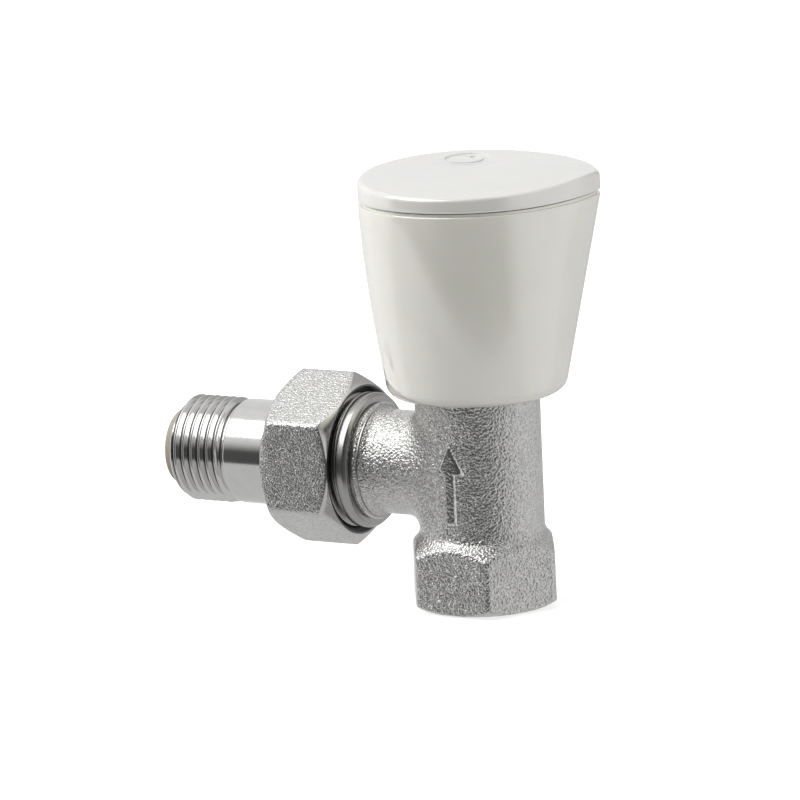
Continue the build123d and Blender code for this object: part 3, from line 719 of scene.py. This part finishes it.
def union_nut():
    """The nut: a turned hexagon, its shouldered bore and its helical G 3/4 thread."""
    turn = radians(NUT_TURN)
    angle = hexagon_angles(turn)
    rows = bevelled_rows(angle, NUT_FLATS, turn, NUT_START, NUT_END, NUT_BEVEL, NUT_FACE)
    slots = [0] * 4 + [1] * 6 + [0] * 5
    root = THREE_QUARTER + THREAD_PLAY
    crest = root - THREAD_DEPTH
    tail_side = open_outline([(NUT_TAIL_BORE + 3, NUT_END), (NUT_TAIL_BORE + 0.6, NUT_END),
                              (NUT_TAIL_BORE, NUT_END - 0.6), (NUT_TAIL_BORE, NUT_SHOULDER),
                              (root, NUT_SHOULDER), (14, 30)], 0.1)
    relief = NUT_SHOULDER - 1.0
    envelope = [(NUT_START, NUT_MOUTH), (NUT_START + NUT_MOUTH - crest, crest),
                (relief - RUN_OUT, crest), (relief, root), (NUT_SHOULDER, root)]
    thread = thread_rows(angle, UNION_GROOVE + PITCH / 2, NUT_START, NUT_SHOULDER, (crest, root), envelope)
    points = [on_branch(r, s, angle) for r, s in rows + tail_side + thread[::-1]]
    slots += [0] * len(tail_side)
    # painted shade: the thread rows near the nut's mouth get the near-black nickel
    slots += [2 * int(np.mean(s) < NUT_START + NUT_SHADE) for _, s in thread[::-1]]
    return skinned("union_nut_detailed", points, [TURNED_BRANCH, NUT_GRAIN, SHADE_PAINTED_THREAD], "nut", slots)


nut = union_nut()
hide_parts("union_nut")


# ---- tailpiece ------------------------------------------------------------------------------
def tailpiece():
    """The tail: spigot and its ring's groove, flange, shank, G 1/2 thread, tip and key socket."""
    angle = np.linspace(0, 2 * pi, AROUND + 1)
    root = HALF_INCH - THREAD_DEPTH
    ring_low, ring_high = box_mm("tail_o_ring")
    groove_start, groove_end = -ring_high.x - 0.15, -ring_low.x + 0.15
    groove = SPIGOT_BORE - 1.6
    spigot = SPIGOT_BORE - 0.15
    inner_end = -TAIL_HIGH.x
    flange_face = UNION_FACE + 0.05
    shoulder = NUT_SHOULDER - 0.05
    thread_foot = TAIL_THREAD_START - 0.8
    start = open_outline([(TAIL_BORE, inner_end), (spigot - 0.5, inner_end), (spigot, inner_end + 0.5),
                          (spigot, groove_start), (groove, groove_start), (groove, groove_end),
                          (spigot, groove_end), (spigot, flange_face), (FLANGE_RADIUS, flange_face),
                          (FLANGE_RADIUS, shoulder), (SHANK_RADIUS, shoulder),
                          (SHANK_RADIUS, SHANK_END, 0.5), (root, SHANK_END + 0.25),
                          (root, thread_foot - 0.05), (HALF_INCH, TAIL_THREAD_START)])
    envelope = [(thread_foot, root), (TAIL_THREAD_START, HALF_INCH),
                (TAIL_LAST_CREST, HALF_INCH), (TAIL_THREAD_END, root - 0.1)]
    thread = thread_rows(angle, TAIL_GROOVE, thread_foot, TAIL_THREAD_END, (HALF_INCH, root), envelope)
    tip = -TAIL_LOW.x
    end = open_outline([(root - 0.1, TAIL_THREAD_END), (TIP_RADIUS, TAIL_THREAD_END), (TIP_RADIUS, tip),
                        (KEY_FLATS / 2 + 0.5, tip), (TAIL_BORE, tip)], 0.25)
    socket = np.maximum(hexagon_radius(angle, KEY_FLATS, radians(NUT_TURN), CRISP), TAIL_BORE)
    bore = TAIL_BORE - 0.02
    inside = [(socket + 0.35, tip), (socket, tip - 0.35), (socket, tip - KEY_DEPTH),
              (bore, tip - KEY_DEPTH - 0.1), (bore, inner_end + 0.1)]
    rows = [on_branch(r, s, angle) for r, s in start + thread + end + inside]
    # painted shade: the root rows of the tail's thread get the near-black nickel
    painted_shade_rows = [int(SHADE_FROM < share < SHADE_TO) for share in TURN_ROWS]
    slots = [0] * len(start) + painted_shade_rows * (len(thread) // len(TURN_ROWS)) + [0] * len(end + inside)
    return skinned("tailpiece_detailed", rows, [BRIGHT, SHADE_PAINTED_THREAD], "tail", slots)


def tail_ring():
    """The soft ring on the tail's tip, round at its outer edge and slightly full."""
    low, high = -RING_HIGH.x, -RING_LOW.x
    width = high - low
    outline = [(TIP_RADIUS + 0.02, low), (RING_RADIUS, low, 0.2), (RING_RADIUS, high, width * 0.72),
               (TIP_RADIUS + 0.02, high, 0.35)]
    return turned("tail_end_seal_detailed", outline, on_branch, [CREAM], "tail", 0.2, 7)


tail = tailpiece()
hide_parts("tailpiece")
seal = tail_ring()
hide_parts("tail_end_seal")


# ---- cap ------------------------------------------------------------------------------------
def cap_row(height, inset=0.0):
    """The cap's outline at a height: a large round and a point's round, joined by shallow arcs."""
    share = min((np.mean(height) - CAP_BOTTOM) / (CAP_RIM - CAP_BOTTOM), 1.0)
    main = FOOT_RADIUS + (RIM_RADIUS - FOOT_RADIUS) * (1 - (1 - share) ** CAP_FLARE)
    point = FOOT_POINT + (RIM_POINT - FOOT_POINT) * share
    centre = FOOT_REACH + (RIM_REACH - FOOT_REACH) * share - point
    to_main, to_point = CAP_SIDE_RADIUS - main, CAP_SIDE_RADIUS - point
    side_x = (to_main ** 2 - to_point ** 2 + centre ** 2) / (2 * centre)
    side_y = np.sqrt(to_main ** 2 - side_x ** 2)
    main_end, point_end = np.arctan2(side_y, -side_x), np.arctan2(side_y, centre - side_x)

    def arc(radius, x, y, start, end, columns):
        angle = np.linspace(start, end, columns)
        return np.stack([x + (radius - inset) * np.cos(angle), y + (radius - inset) * np.sin(angle)], -1)

    big = arc(main, 0, 0, main_end, 2 * pi - main_end, 131)
    low = arc(CAP_SIDE_RADIUS, side_x, side_y, -main_end, -point_end, 22)
    small = arc(point, centre, 0, -point_end, point_end, 41)
    high = arc(CAP_SIDE_RADIUS, side_x, -side_y, point_end, main_end, 22)
    flat = np.concatenate([big, low[1:-1], small, high[1:-1], big[:1]])
    turn = radians(CAP_TIP_ANGLE)
    x = flat[:, 0] * cos(turn) - flat[:, 1] * sin(turn)
    y = flat[:, 0] * sin(turn) + flat[:, 1] * cos(turn)
    return np.stack([x, y, np.broadcast_to(height, x.shape)], -1)


CAP_ANGLES = np.unwrap(np.arctan2(*cap_row(CAP_BOTTOM)[:, 1::-1].T))


def circle_row(radius, height):
    """A round row in step with the cap's outline."""
    return on_barrel(radius, height, CAP_ANGLES)


def rib(turn):
    """One upright rib under the cap's deck, from the boss to the wall."""
    inner, low, high = BOSS_RADIUS - FILLET, RIB_BOTTOM, DECK_BOTTOM + 0.5
    middle = (low + DECK_BOTTOM) / 2
    buried = 0.9                  # in the wall
    reach = np.interp(turn % (2 * pi), *sorted_polar(cap_row(middle, CAP_WALL - buried)))
    low_reach = np.interp(turn % (2 * pi), *sorted_polar(cap_row(low, CAP_WALL - buried)))
    corners = []
    for along, height in ((inner, low), (low_reach, low), (reach + buried, high), (inner, high)):
        for side in (-RIB_HALF, RIB_HALF):
            x = along * cos(turn) - side * sin(turn)
            y = along * sin(turn) + side * cos(turn)
            corners.append((x, y, height))
    faces = [(0, 2, 4, 6), (1, 7, 5, 3), (0, 1, 3, 2), (2, 3, 5, 4), (4, 5, 7, 6), (6, 7, 1, 0)]
    return corners, faces


def sorted_polar(row):
    """A row as rising angles and their radii, to read the outline at any angle."""
    angle = np.arctan2(row[:, 1], row[:, 0]) % (2 * pi)
    order = np.argsort(angle)
    radius = np.hypot(row[:, 0], row[:, 1])[order]
    return angle[order], radius


def cap_skirt():
    """The cap's wall, stepped rim, deck and boss as one closed skin, with its ribs."""
    rows = []
    for k in range(9):
        lean = pi / 2 * k / 8
        rows.append(cap_row(CAP_BOTTOM + CAP_FOOT_ROUND * (1 - sin(lean)), CAP_FOOT_ROUND * (1 - cos(lean))))
    rows = rows[::-1]
    for share in np.linspace(0, 1, 25)[1:]:
        foot_top = CAP_BOTTOM + CAP_FOOT_ROUND
        rows.append(cap_row(foot_top + share * (CAP_RIM - RIM_ROUND - foot_top)))
    rows += [cap_row(CAP_RIM - 0.16, 0.03), cap_row(CAP_RIM - 0.04, 0.14), cap_row(CAP_RIM, RIM_ROUND)]
    rows += [cap_row(CAP_RIM, STEP_INSET), cap_row(STEP_TOP - 0.1, STEP_INSET)]
    rows += [cap_row(STEP_TOP, STEP_INSET + 0.1), cap_row(STEP_TOP, CAP_WALL - 0.1)]
    rows += [cap_row(STEP_TOP - 0.1, CAP_WALL), cap_row(CAP_RIM - 2.5, CAP_WALL), cap_row(DECK_TOP, CAP_WALL)]
    rows += [circle_row(SCREW_HOLE + 0.1, DECK_TOP), circle_row(SCREW_HOLE, DECK_TOP - 0.1)]
    rows.append(circle_row(SCREW_HOLE, DECK_BOTTOM))
    pocket = hexagon_radius(CAP_ANGLES, INSERT_FLATS, 0.0, CRISP)
    rows += [circle_row(pocket, DECK_BOTTOM), circle_row(pocket, BOSS_BOTTOM + 0.3),
             circle_row(pocket + 0.3, BOSS_BOTTOM)]
    rows += [circle_row(BOSS_RADIUS - 0.3, BOSS_BOTTOM), circle_row(BOSS_RADIUS, BOSS_BOTTOM + 0.3)]
    wall_top = DECK_BOTTOM - FILLET
    rows += [circle_row(BOSS_RADIUS, wall_top), circle_row(BOSS_RADIUS + FILLET, DECK_BOTTOM)]
    rows += [cap_row(DECK_BOTTOM, CAP_WALL + FILLET), cap_row(wall_top, CAP_WALL)]
    for share in np.linspace(0, 1, 13)[1:]:
        rows.append(cap_row(wall_top + share * (CAP_BOTTOM + 0.2 - wall_top), CAP_WALL))
    rows.append(cap_row(CAP_BOTTOM, CAP_WALL - 0.2))
    points = np.concatenate(rows).tolist()
    faces = grid_faces(len(rows), len(rows[0]), True).tolist()
    for k in range(4):
        corners, sides = rib(radians(CAP_TIP_ANGLE + 90 * k))
        faces += [tuple(len(points) + i for i in side) for side in sides]
        points += corners
    return finish_mesh("cap_skirt_detailed", points, faces, [CAP_WHITE], "cap")


def lid_plane(x, y):
    """The height of the lid's sloping top, which dips a little towards its point."""
    rise = radians(LID_RISE_ANGLE)
    from_dip = np.degrees(np.arctan2(y, x)) - DIP_ANGLE
    width = np.where(from_dip > 0, DIP_WIDTHS[1], DIP_WIDTHS[0])
    outwards = np.clip((np.hypot(x, y) - DIP_START) / DIP_SPAN, 0, 1)
    dip = DIP_DEPTH * np.exp(-(from_dip / width) ** 2) * outwards ** 2
    return LID_HEIGHT + tan(radians(LID_TILT)) * (x * cos(rise) + y * sin(rise)) - dip


def lid_row(inset, drop):
    """A row of the lid's top edge whose inset changes round the outline."""
    outer = cap_row(CAP_RIM)
    normal = outer - cap_row(CAP_RIM, 1.0)
    row = outer - normal * inset[:, None]
    row[:, 2] = lid_plane(row[:, 0], row[:, 1]) - drop
    return row


def cap_lid():
    """The lid: crisp along its point, softer round the back and left, with a round pocket on top."""
    base = cap_row(CAP_RIM)
    turn = np.arctan2(base[:, 1], base[:, 0]) - radians(CAP_TIP_ANGLE)
    edge = EDGE_POINT + EDGE_BACK * (0.5 - 0.5 * np.cos(turn)) ** 1.2
    edge += EDGE_SOFT * np.exp(-((turn - EDGE_SOFT_TURN) / EDGE_SOFT_WIDTH) ** 2)
    side_foot = LID_BOTTOM + LID_FOOT_ROUND
    rows = [cap_row(LID_BOTTOM, LID_FOOT_ROUND), cap_row(LID_BOTTOM + 0.08, 0.07), cap_row(side_foot)]
    side_top = lid_plane(base[:, 0], base[:, 1]) - edge
    for share in (0.33, 0.67):
        row = base.copy()
        row[:, 2] = side_foot + share * (side_top - side_foot)
        rows.append(row)
    for k in range(8):
        lean = pi / 2 * k / 7
        rows.append(lid_row(edge * (1 - cos(lean)), edge * (1 - sin(lean))))
    mark_x, mark_y = MARK_CENTRE
    last = rows[-1]
    polar = np.unwrap(np.arctan2(last[:, 1] - mark_y, last[:, 0] - mark_x))

    def pocket_row(radius, drop):
        x, y = mark_x + radius * np.cos(polar), mark_y + radius * np.sin(polar)
        return np.stack([x, y, lid_plane(x, y) - drop], -1)

    brim = pocket_row(MARK_RADIUS + 0.15, 0)
    for share in (0.2, 0.4, 0.6, 0.8):
        row = last + share * (brim - last)
        row[:, 2] = lid_plane(row[:, 0], row[:, 1])
        rows.append(row)
    rows += [brim, pocket_row(MARK_RADIUS + 0.03, 0.04), pocket_row(MARK_RADIUS - 0.03, 0.2),
             pocket_row(MARK_RADIUS - 0.2, 0.3), pocket_row(MARK_RADIUS * 0.5, 0.3), pocket_row(0, 0.3)]
    top = len(rows)
    outside = CAP_WALL + 0.15
    inside = outside + SNAP_WALL
    heights = [CAP_RIM, SNAP_BOTTOM + 1.7, SNAP_BOTTOM + 0.3]
    under = [cap_row(LID_BOTTOM, LID_FOOT_ROUND), cap_row(LID_BOTTOM, outside)]
    under += [cap_row(height, outside) for height in heights] + [cap_row(SNAP_BOTTOM, outside + 0.3)]
    under += [cap_row(SNAP_BOTTOM, inside - 0.3)] + [cap_row(height, inside) for height in heights[::-1]]
    ceiling = cap_row(CAP_RIM, inside)
    ceiling[:, 2] = LID_CEILING
    centre = 0 * ceiling + [0, 0, LID_CEILING]
    under += [ceiling, centre]
    columns = len(rows[0])
    faces = grid_faces(top, columns, False).tolist()
    faces += (grid_faces(len(under), columns, False) + top * columns).tolist()
    points = np.concatenate(rows + under)
    return finish_mesh("cap_lid_detailed", points, faces, [LID_WHITE], "lid")


def turn_mark():
    """A raised turning arrow in the lid's pocket: an arc with a pointed end."""
    bottom, top, middle, half = 0.5, 0.12, 2.75, 0.42
    sweep = np.radians(np.linspace(-150, 95, 49))
    outline = [((middle + half) * np.array([cos(a), sin(a)])) for a in sweep]
    tip = sweep[-1]
    along = np.array([-sin(tip), cos(tip)])
    out = np.array([cos(tip), sin(tip)])
    outline += [out * (middle + 1.15), out * middle + along * 1.9, out * (middle - 1.15)]
    outline += [((middle - half) * np.array([cos(a), sin(a)])) for a in sweep[::-1]]
    flat = np.array(outline) + MARK_CENTRE
    count = len(flat)
    height = lid_plane(flat[:, 0], flat[:, 1])
    points = np.concatenate([np.c_[flat, height - bottom], np.c_[flat, height - top]])
    faces = [tuple(range(count))[::-1], tuple(range(count, 2 * count))]
    faces += [(i, (i + 1) % count, count + (i + 1) % count, count + i) for i in range(count)]
    return finish_mesh("cap_lid_turn_mark", points, faces, [LID_WHITE], "lid")


skirt = cap_skirt()
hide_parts("cap_skirt")
lid = cap_lid()
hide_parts("cap_lid")
turn_mark()


# ---- stage, lights and camera ---------------------------------------------------------------
VIEW_AZIMUTH = radians(29.156)
VIEW_ELEVATION = radians(11.772)
VIEW_ROLL = radians(2.56)
VIEW_DISTANCE = 1.0
AIM = Vector((-0.01295, -0.00722, 0.01401 + BRANCH_HEIGHT * MM))
LENS = 234.3

FLOOR_HALF = 25.0             # metres, so that its edge never shows
FLOOR_DROP = 0.0004           # metres below the inlet's face
FLOOR_GLOW = 0.55
ROOM_LEVEL = 0.08
# (azimuth, elevation), half angle, softness in degrees, and brightness
STUDIO_CARDS = [
    ((129, -75), 78.2, 2, 0.60),
    ((100, 5), 92, 12, 0.44),
    ((22, 0), 40, 15, 0.80),
    ((40, 55), 25, 14, 0.80),
    ((158, 15), 56, 6, 0.80),
    ((145, 65), 30, 12, 0.85),
    ((225, 53), 33, 15, 0.85),
]


def add_camera():
    """A long lens that looks slightly down on the valve, with its branch to the left."""
    right = Vector((cos(VIEW_AZIMUTH), sin(VIEW_AZIMUTH), 0))
    back = Vector((sin(VIEW_AZIMUTH) * cos(VIEW_ELEVATION), -cos(VIEW_AZIMUTH) * cos(VIEW_ELEVATION),
                   sin(VIEW_ELEVATION)))
    up = back.cross(right)
    x = right * cos(VIEW_ROLL) - up * sin(VIEW_ROLL)
    y = right * sin(VIEW_ROLL) + up * cos(VIEW_ROLL)
    camera = bpy.data.objects.new("camera", bpy.data.cameras.new("camera"))
    camera.data.lens = LENS
    camera.data.sensor_width = 36
    camera.data.clip_start = 0.05
    camera.data.clip_end = 30
    turn = Matrix((x, y, back)).transposed().to_4x4()
    camera.matrix_world = Matrix.Translation(AIM + back * VIEW_DISTANCE) @ turn
    bpy.context.scene.collection.objects.link(camera)
    bpy.context.scene.camera = camera


def direction(azimuth, elevation):
    """A unit vector whose azimuth turns from +X towards +Y."""
    azimuth, elevation = radians(azimuth), radians(elevation)
    return Vector((cos(azimuth) * cos(elevation), sin(azimuth) * cos(elevation), sin(elevation)))


def add_light(name, azimuth, elevation, distance, size, radiance, on_metal=True):
    """A soft rectangular light that faces the valve; its power follows from its radiance."""
    data = bpy.data.lights.new(name, "AREA")
    data.shape = "RECTANGLE"
    data.size, data.size_y = size
    data.energy = radiance * pi * size[0] * size[1]
    light = bpy.data.objects.new(name, data)
    away = direction(azimuth, elevation)
    turn = away.to_track_quat("Z", "Y").to_matrix().to_4x4()
    light.matrix_world = Matrix.Translation(AIM + away * distance) @ turn
    light.visible_glossy = on_metal
    bpy.context.scene.collection.objects.link(light)


def add_floor():
    """A pale, softly lit table top."""
    mesh = bpy.data.meshes.new("floor")
    turns = ((-1, -1), (1, -1), (1, 1), (-1, 1))
    mesh.from_pydata([(x * FLOOR_HALF, y * FLOOR_HALF, 0) for x, y in turns], [], [(0, 1, 2, 3)])
    look = Look("floor_paper", (0.9, 0.9, 0.9), Roughness=0.9, Emission_Strength=FLOOR_GLOW)
    look.shader.inputs["Emission Color"].default_value = (1, 1, 1, 1)
    look.tint(look.noise(300), (0.895, 0.895, 0.895), (0.905, 0.905, 0.905))
    mesh.materials.append(look.material)
    floor = bpy.data.objects.new("floor", mesh)
    floor.location.z = -FLOOR_DROP
    floor.visible_glossy = False
    floor.visible_diffuse = False
    bpy.context.scene.collection.objects.link(floor)


def add_world():
    """A dim room with soft white cards round the table: each is a cone of directions."""
    world = bpy.data.worlds.new("studio")
    world.use_nodes = True
    tree = world.node_tree
    place = tree.nodes.new("ShaderNodeTexCoord").outputs["Generated"]
    level = None
    for toward, half_angle, soft, brightness in STUDIO_CARDS:
        dot = tree.nodes.new("ShaderNodeVectorMath")
        dot.operation = "DOT_PRODUCT"
        tree.links.new(place, dot.inputs[0])
        dot.inputs[1].default_value = direction(*toward)
        card = tree.nodes.new("ShaderNodeMapRange")
        card.interpolation_type = "SMOOTHSTEP"
        card.inputs["From Min"].default_value = cos(radians(half_angle + soft))
        card.inputs["From Max"].default_value = cos(radians(half_angle - soft))
        card.inputs["To Min"].default_value = ROOM_LEVEL
        card.inputs["To Max"].default_value = brightness
        tree.links.new(dot.outputs["Value"], card.inputs["Value"])
        if level is None:
            level = card.outputs["Result"]
            continue
        brighter = tree.nodes.new("ShaderNodeMath")
        brighter.operation = "MAXIMUM"
        tree.links.new(level, brighter.inputs[0])
        tree.links.new(card.outputs["Result"], brighter.inputs[1])
        level = brighter.outputs[0]
    tree.links.new(level, tree.nodes["Background"].inputs["Strength"])
    tree.nodes["Background"].inputs["Color"].default_value = (1, 1, 1, 1)
    bpy.context.scene.world = world


add_camera()
add_floor()
add_world()
# azimuth, elevation, distance and size in metres, radiance
add_light("key_left", 220, 53, 1.2, (1.0, 0.95), 2.4)
add_light("soft_left", 197, 5, 1.2, (0.6, 0.9), 7.2, on_metal=False)
add_light("soft_right", -22, 5, 1.3, (0.6, 0.9), 4.5, on_metal=False)

bpy.context.scene.view_settings.view_transform = "Standard"
